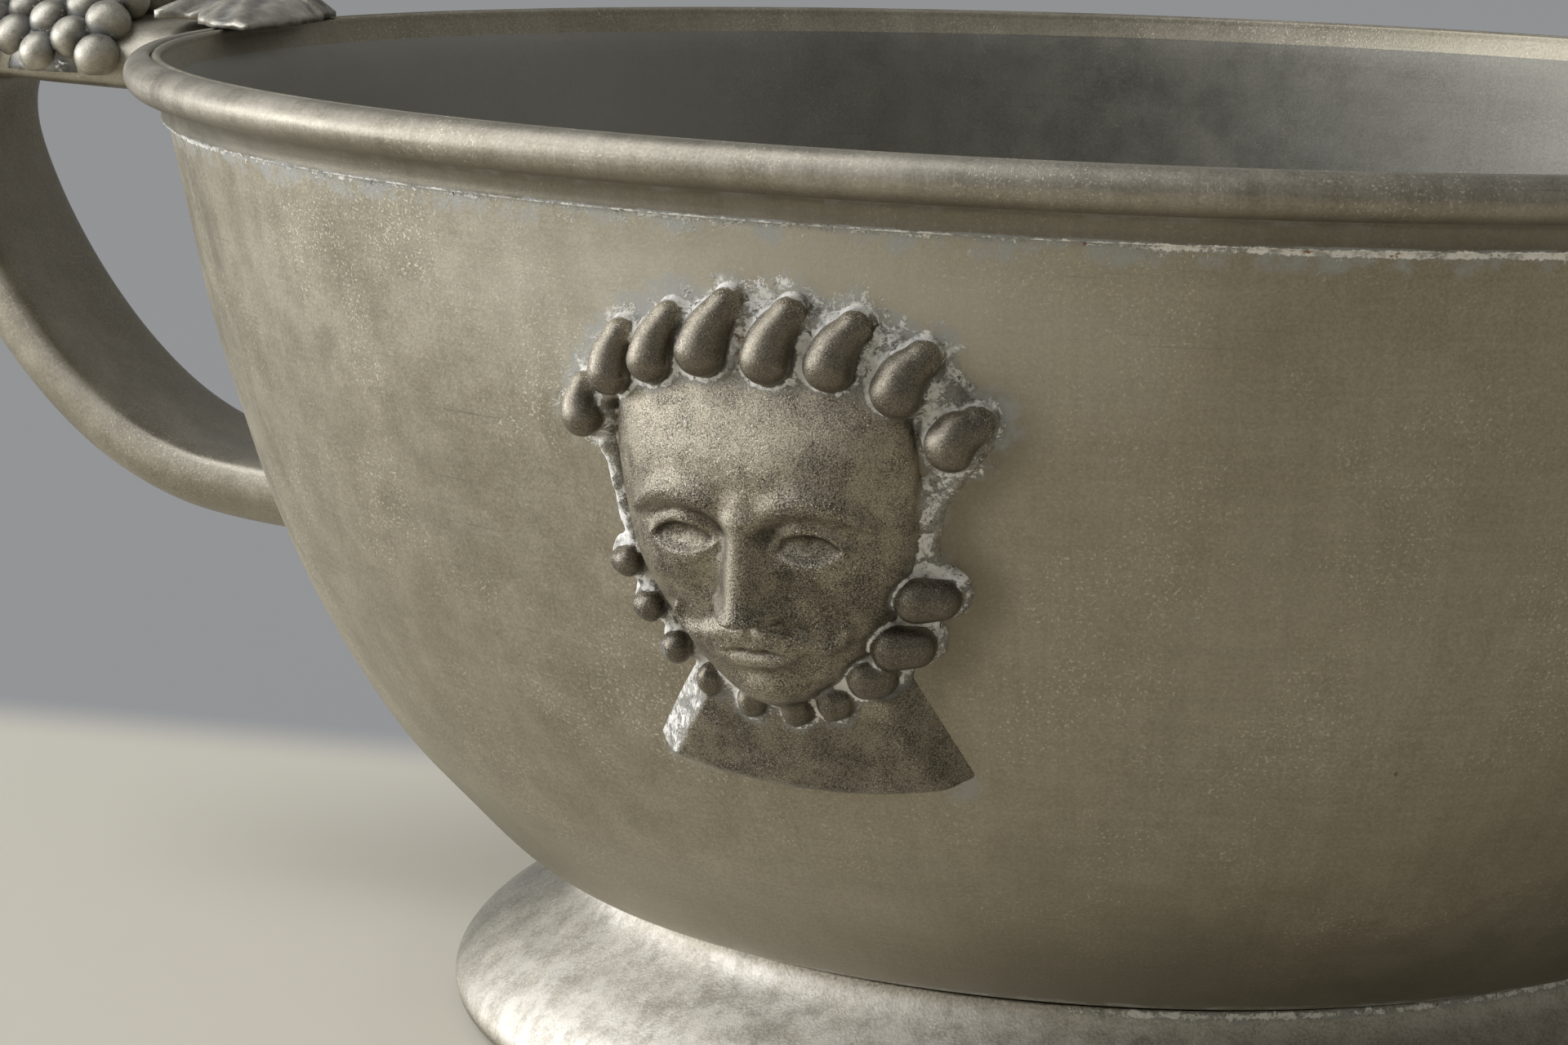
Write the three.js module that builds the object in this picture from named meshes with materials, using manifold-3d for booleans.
// Footed pewter bowl with two loop handles, grape bunches and a relief mask on the front and on the back.
// Millimetres, +Z up. The origin is the centre of the foot's underside; the front mask faces -Y
// and the handles stand at -X and +X.

import * as THREE from "three";
import { mergeVertices } from "three/addons/utils/BufferGeometryUtils.js";
import Module from "manifold-3d";

const wasm = await Module();
wasm.setup();

// Driving dimensions
const ROUND_STEPS = 64;
const RIM_HEIGHT = 122;
const RIM_OUTER_RADIUS = 130;
const BEAD_RADIUS = 2.5;
const SEAM_HEIGHT = 113.8;
const SEAM_RADIUS = 124.5;
const WALL = 2;
const FIT_GAP = 0.3;
const FOOT_TOP_RADIUS = 70.8;
const FOOT_TOP_HEIGHT = 19.2;
const FOOT_OUTER_RADIUS = 86.9;
const HANDLE_WIDTH = 26;
const HANDLE_DEPTH = 10.5;
const GRAPE_RADIUS = 3.2;
const LEAF_MIDDLE_RADIUS = 130;
const LEAF_SHORT_SIDE = 0.38;
const MASK_CENTRE_HEIGHT = 80;
const MASK_SEAT_RADIUS = 115.6;

// Outside of the belly, from the seam under the rim down to the middle of the floor: radius, height
const BELLY_STATIONS = [
  [SEAM_RADIUS, SEAM_HEIGHT], [122, 103.2], [119, 90.6], [115, 78], [110.5, 65.5],
  [104.4, 52.9], [96.4, 40.4], [88.4, 31.6], [79, 22.9], [70, 19.8], [50, 17.4], [0, 16],
];

// Middle line of the right handle, out of the belly, up the loop and back level to the rim: x, height
const HANDLE_PATH = [
  [98, 57], [112, 57.6], [126, 58], [138, 59.8], [149, 64.6], [159, 72.4], [168, 82.6],
  [175.4, 94], [179.6, 104.4], [178.4, 112.6], [171.5, 115.8], [158, 115.6], [144, 115.3], [124, 115.2],
];

// Curls over the brow: across, up, radius of the lobe, lean of the tail in degrees and its reach
const CURLS = [
  [-19.7, 12.1, 2.35, -2, 4.2], [-15.5, 17.3, 2.6, 12, 5.4], [-10.4, 19.4, 2.6, 21, 6],
  [-4.6, 21.1, 3, 26, 6.7], [2.3, 20.9, 3, 23, 6.4], [8.7, 20.7, 2.9, 30, 5.8],
  [15.2, 18.3, 2.95, 32, 5.5], [20.2, 12.9, 2.9, 53, 4.8],
];

// Beads of the beard along the jaw: across, up, how proud, radius
const BEARD = [
  [-17.5, -4.2, 2, 1.7], [-15.6, -9, 2, 1.7], [-12.9, -13.2, 2.4, 1.7], [-8.7, -15.9, 3, 1.8],
  [-3.6, -17.4, 3.4, 1.9], [1.8, -17.7, 3.5, 2], [6.2, -16.4, 3.5, 2.1], [10.4, -13.4, 3.4, 2.3],
  [13.7, -9.8, 2.8, 2.6], [16.6, -4.4, 2.6, 2.6],
];

// A closed mesh as a solid, turned the right way out
function solidOf(geometry) {
  const bare = geometry.clone();
  bare.deleteAttribute("normal");
  bare.deleteAttribute("uv");
  const merged = mergeVertices(bare, 1e-3);
  const place = merged.attributes.position;
  const corners = Array.from(merged.index.array);
  const faces = [];
  let volume = 0;
  const [a, b, c] = [new THREE.Vector3(), new THREE.Vector3(), new THREE.Vector3()];
  for (let i = 0; i < corners.length; i += 3) {
    const [p, q, r] = corners.slice(i, i + 3);
    if (p === q || q === r || r === p) continue;
    faces.push([p, q, r]);
    a.fromBufferAttribute(place, p);
    b.fromBufferAttribute(place, q);
    c.fromBufferAttribute(place, r);
    volume += a.dot(b.cross(c)) / 6;
  }
  const triVerts = Uint32Array.from(faces.flatMap((f) => (volume < 0 ? [f[0], f[2], f[1]] : f)));
  return new wasm.Manifold(new wasm.Mesh({ numProp: 3, vertProperties: place.array, triVerts }));
}

function geometryOf(solid) {
  const mesh = solid.getMesh();
  const geometry = new THREE.BufferGeometry();
  geometry.setAttribute("position", new THREE.BufferAttribute(mesh.vertProperties, 3));
  geometry.setIndex(new THREE.BufferAttribute(mesh.triVerts, 1));
  return geometry;
}

const joined = (solids) => solids.reduce((whole, solid) => whole.add(solid));

// Moves every corner of a shape: place takes x, y, z and gives the new x, y, z
function reshaped(geometry, place) {
  const corners = geometry.attributes.position;
  for (let i = 0; i < corners.count; i += 1) {
    corners.setXYZ(i, ...place(corners.getX(i), corners.getY(i), corners.getZ(i)));
  }
  return geometry;
}

const latheOf = (profile, steps) =>
  new THREE.LatheGeometry(profile.map(([r, z]) => new THREE.Vector2(Math.max(r, 0), z)), steps);

// A profile of [radius, height] pairs turned about the vertical axis
const turned = (profile, steps = ROUND_STEPS) => solidOf(latheOf(profile, steps).rotateX(Math.PI / 2));

const curveThrough = (stations, count) =>
  new THREE.SplineCurve(stations.map(([r, z]) => new THREE.Vector2(r, z)))
    .getPoints(count)
    .map((p) => [p.x, p.y]);

// The same outline moved square to itself; a positive distance goes to the left of its direction
function beside(outline, distance) {
  return outline.map(([r, z], i) => {
    const before = outline[Math.max(i - 1, 0)];
    const after = outline[Math.min(i + 1, outline.length - 1)];
    const [dr, dz] = [after[0] - before[0], after[1] - before[1]];
    const length = Math.hypot(dr, dz);
    return [r - (distance * dz) / length, z + (distance * dr) / length];
  });
}

const arc = (r, z, radius, from, to, count) =>
  Array.from({ length: count + 1 }, (_, i) => {
    const t = THREE.MathUtils.degToRad(from + ((to - from) * i) / count);
    return [r + radius * Math.cos(t), z + radius * Math.sin(t)];
  });

const BELLY = curveThrough(BELLY_STATIONS, 13);

// Radius of the belly's outside at a height
function bellyRadius(height) {
  const below = Math.max(1, BELLY.findIndex(([, z]) => z <= height));
  const [[r0, z0], [r1, z1]] = [BELLY[below - 1], BELLY[below]];
  return r0 + ((r1 - r0) * (z0 - height)) / (z0 - z1);
}

// Bowl shell: a wall of even thickness that flares into a thin lip behind the rim moulding
function bowlShell() {
  const lipOutside = [[126.7, 121.5], [126.7, 119], [125.2, 117], [SEAM_RADIUS, 115.2]];
  const lipInside = [[122.8, 115.5], [123.6, 117.5], [125.1, 119.6], [125.6, RIM_HEIGHT - 0.4]];
  const inside = beside(BELLY, -WALL);
  inside[0] = [SEAM_RADIUS - WALL, SEAM_HEIGHT];
  inside[inside.length - 1] = [0, BELLY.at(-1)[1] + WALL];
  const top = [[126, RIM_HEIGHT], lipOutside[0]];
  return turned([...lipOutside, ...BELLY, ...inside.reverse(), ...lipInside, ...top]);
}

// Rim moulding: half-round bead over a short cove and a thin-edged band, laid round the lip
function rimMoulding() {
  const band = [[125.3, SEAM_HEIGHT + 0.1], [125.5, 115.4], [126.2, 116.5]];
  const bead = arc(RIM_OUTER_RADIUS - BEAD_RADIUS, RIM_HEIGHT - BEAD_RADIUS, BEAD_RADIUS, -90, 100, 8);
  const back = [[126.7 + FIT_GAP, 118.8], [125.5, 116.9], [SEAM_RADIUS + FIT_GAP, 115.1]];
  const start = [SEAM_RADIUS + FIT_GAP, SEAM_HEIGHT + 0.1];
  return turned([start, ...band, ...bead, ...back, start]);
}

// Foot ring: soldered under the belly, a short cove that spreads into a round shoulder, hollow inside
function footRing() {
  const cove = [[FOOT_TOP_RADIUS, FOOT_TOP_HEIGHT], [71.2, 17.8], [72.6, 16], [75.6, 13.8], [80, 11.2]];
  const shoulder = [[83.9, 8.4], [86, 6], [FOOT_OUTER_RADIUS, 3.8], [86.6, 2], [84.9, 0]];
  const inside = [[82.4, 0], [82.7, 3], [81.4, 5.8], [78, 9], [73.4, 11.8], [69.4, 14.8], [68.4, 18.4]];
  return turned([...cove, ...shoulder, ...inside, cove[0]]);
}

// D-shaped section, flat towards the loop's inside and round outside; grow widens it all round
function strapSection(grow) {
  const half = HANDLE_WIDTH / 2 + grow;
  const [flat, crown] = [-HANDLE_DEPTH * 0.4 - grow, HANDLE_DEPTH * 0.6 + grow];
  const section = new THREE.Shape();
  section.moveTo(3 - half, flat);
  section.lineTo(half - 3, flat);
  section.quadraticCurveTo(half, flat, half, 0);
  section.bezierCurveTo(half, crown * 0.75, half * 0.55, crown, 0, crown);
  section.bezierCurveTo(-half * 0.55, crown, -half, crown * 0.75, -half, 0);
  section.quadraticCurveTo(-half, flat, 3 - half, flat);
  return section;
}

function loopOfStrap(grow) {
  const path = new THREE.CatmullRomCurve3(HANDLE_PATH.map(([x, z]) => new THREE.Vector3(x, 0, z)));
  const section = strapSection(grow);
  return solidOf(new THREE.ExtrudeGeometry(section, { extrudePath: path, steps: 24, curveSegments: 3 }));
}

// Everything inside the bowl's outline, grown by the fitting gap, that the applied pieces are cut back to
function bodyOutside() {
  const rim = [[125.4, 113.5], [125.8, 115.4], [126.4, 116], [RIM_OUTER_RADIUS, 116.6]];
  const belly = [...BELLY].reverse().slice(1);
  const outline = [[0, 0], ...belly, ...rim, [RIM_OUTER_RADIUS, RIM_HEIGHT], [0, RIM_HEIGHT]];
  return turned(outline.map(([r, z]) => [r && r + FIT_GAP, z]));
}

const handleStrap = () => loopOfStrap(0).subtract(bodyOutside());

// Grape bunch: staggered rows of berries on a core that sits astride the level end of the handle
function grapeBunch() {
  const [rows, firstRow, rowPitch, berryStep] = [5, 149.5, 4.9, 25];
  const [axisHeight, acrossReach, upReach] = [113.6, 14.6, 11.8];
  const berries = [];
  for (let row = 0; row < rows; row += 1) {
    const count = row % 2 ? 6 : 7;
    const slim = 1 - 0.035 * row;
    for (let i = 0; i < count; i += 1) {
      const lean = THREE.MathUtils.degToRad((i - (count - 1) / 2) * berryStep);
      const [y, z] = [slim * acrossReach * Math.sin(lean), axisHeight + slim * upReach * Math.cos(lean)];
      const berry = new THREE.SphereGeometry(GRAPE_RADIUS, 7, 5);
      berries.push(solidOf(berry.translate(firstRow + row * rowPitch, y, z)));
    }
  }
  const egg = new THREE.SphereGeometry(1, 12, 8).scale(13.2, 15.8, 12.3);
  const core = solidOf(egg.translate(159, 0, axisHeight));
  return joined([core, ...berries]).subtract(loopOfStrap(FIT_GAP)).subtract(underBar());
}

// The space under the bar's middle, where the bunch has no berries
const underBar = () => solidOf(new THREE.BoxGeometry(60, 60, 20).translate(160, 0, 103.5));

// Vine leaf: a lobed blade on top of the rim, domed in the middle, its side lobes following the rim round
function vineLeaf() {
  const lobes = [
    [0, 7], [22, 11], [48, 16], [68, 12], [92, 21], [108, 29], [122, 20], [140, 12], [160, 8], [180, 9],
  ];
  const reach = (turn) => {
    const at = Math.abs(THREE.MathUtils.radToDeg(turn));
    const next = lobes.findIndex(([angle], i) => i > 0 && at <= angle + 1e-6);
    const [[a0, r0], [a1, r1]] = [lobes[next - 1], lobes[next]];
    return r0 + ((r1 - r0) * (at - a0)) / (a1 - a0);
  };
  const blade = latheOf([[0, 0], [0.5, 0], [0.9, 0], [1, 0.5], [0.9, 1], [0.6, 1], [0.3, 1], [0, 1]], 36);
  const top = (share) => 1.5 + 2.6 * (1 - share * share);
  return solidOf(reshaped(blade, (x, level, z) => {
    const [turn, share] = [Math.atan2(x, z), Math.hypot(x, z)];
    const side = turn < 0 ? 1 - (1 - LEAF_SHORT_SIDE) * Math.abs(Math.sin(turn)) : 1;
    const length = share * reach(turn) * side;
    const radius = LEAF_MIDDLE_RADIUS + length * Math.cos(turn);
    const round = (length * Math.sin(turn)) / LEAF_MIDDLE_RADIUS;
    return [radius * Math.cos(round), radius * Math.sin(round), RIM_HEIGHT + FIT_GAP + level * top(share)];
  }));
}

// Lays a flat shape (x across, -y proud of the belly, z up from the mask's middle) on the belly's curve
function laidOnBelly(geometry) {
  return solidOf(reshaped(geometry, (x, y, z) => {
    const height = MASK_CENTRE_HEIGHT + z;
    const lean = Math.atan((bellyRadius(height + 4) - bellyRadius(height - 4)) / 8);
    const radius = bellyRadius(height) - y * Math.cos(lean);
    const turn = x / MASK_SEAT_RADIUS;
    return [radius * Math.sin(turn), -radius * Math.cos(turn), height + y * Math.sin(lean)];
  }));
}

// Relief mask: head, curls over the brow, a beaded beard and a cut-off neck, hollowed to lie on the belly
function reliefMask() {
  const egg = (x, z, proud, rx, rz, depth, fine = 6) => laidOnBelly(
    new THREE.SphereGeometry(1, fine, Math.round(fine * 0.75)).scale(rx, depth, rz).translate(x, -proud, z));
  const pair = (x, ...sizes) => [egg(x, ...sizes), egg(-x, ...sizes)];
  const disc = (x, z, rx, rz) => laidOnBelly(
    latheOf([[0, 1.3], [0.6, 1.3], [0.97, 1.2], [1, 0.6], [1, -3], [0, -3]], 20)
      .rotateX(Math.PI).scale(rx, 1, rz).translate(x, 0, z));
  const teardrop = ([x, z, radius, lean, reach]) => laidOnBelly(
    latheOf([[0, -radius], [0.72 * radius, -0.7 * radius], [radius, 0.1 * radius],
      [0.88 * radius, 0.48 * reach], [0.72 * radius, 0.78 * reach], [0.45 * radius, 0.95 * reach], [0, reach]], 8)
      .rotateX(Math.PI / 2).rotateY(THREE.MathUtils.degToRad(lean)).translate(x, -2.7, z));

  const face = [
    egg(0, 0.3, 1, 16.4, 17.4, 6.4, 16),
    egg(0, 9, 3.6, 11, 6, 3.8, 10),
    ...pair(6.4, 5.6, 5.4, 5.8, 1.5, 1.9),
    ...pair(8.6, -2.8, 4.2, 4.6, 4, 2.6),
    egg(0, 1.8, 6, 1.7, 6, 1.9), egg(0, -4.4, 7, 2, 1.9, 2.6), ...pair(2.4, -4.9, 6.4, 1.4, 1.3, 1.7),
    egg(0, -9.4, 5.2, 5.4, 3.2, 2.4, 8),
    egg(0, -8.9, 6.6, 3.8, 0.8, 1.4), egg(0, -10.5, 6.4, 3.4, 0.9, 1.5),
    egg(0, -13.8, 3.6, 3.8, 2.1, 2.9),
  ];
  const sockets = pair(6.9, 2.2, 8.6, 3.9, 2.2, 2.6);
  const eyes = pair(6.8, 1.8, 4.7, 3, 1.6, 2.1);

  const neck = new THREE.Shape();
  neck.moveTo(-11, -10);
  neck.lineTo(-20.4, -26.4);
  neck.quadraticCurveTo(0, -31.4, 20, -25.8);
  neck.lineTo(11, -10);
  neck.lineTo(0, -10);
  const plate = new THREE.ExtrudeGeometry(neck, {
    depth: 3.4, curveSegments: 8, bevelSize: 1.6, bevelThickness: 1.8, bevelOffset: -1.6, bevelSegments: 1,
  });
  const bust = laidOnBelly(plate.rotateX(Math.PI / 2).translate(0, 2, 0));

  const head = joined(face).subtract(joined(sockets)).add(joined(eyes));
  const hair = joined(CURLS.map(teardrop)).add(disc(0.4, 5, 21.5, 18.6));
  const beard = joined(BEARD.map(([x, z, proud, radius]) => egg(x, z, proud, radius, radius, radius)))
    .add(disc(0.2, -2.6, 19.2, 17.6));
  return joined([bust, head, hair, beard]).subtract(bodyOutside());
}

// A named piece of the bowl with its own finish, turned about the vertical axis by turn
function named(name, geometry, hex, roughness, turn = 0) {
  const finish = new THREE.MeshStandardMaterial({ color: hex, roughness, metalness: 0.8 });
  const mesh = new THREE.Mesh(geometry, finish);
  mesh.name = name;
  mesh.rotation.z = turn;
  return mesh;
}

const bowl = new THREE.Group();
bowl.add(named("bowl_shell", geometryOf(bowlShell()), 0x6b6452, 0.55));
bowl.add(named("rim_moulding", geometryOf(rimMoulding()), 0x7a7362, 0.48));
bowl.add(named("foot_ring", geometryOf(footRing()), 0x837c6a, 0.5));

const strap = geometryOf(handleStrap());
const grapes = geometryOf(grapeBunch());
const leaf = geometryOf(vineLeaf());
const mask = geometryOf(reliefMask());
for (const [side, turn] of Object.entries({ right: 0, left: Math.PI })) {
  bowl.add(named(`handle_strap_${side}`, strap, 0x67604f, 0.52, turn));
  bowl.add(named(`grape_bunch_${side}`, grapes, 0x7d7767, 0.5, turn));
  bowl.add(named(`vine_leaf_${side}`, leaf, 0x857e6d, 0.5, turn));
}
bowl.add(named("mask_front", mask, 0x4d4538, 0.5));
bowl.add(named("mask_back", mask, 0x4d4538, 0.5, Math.PI));

export default bowl;
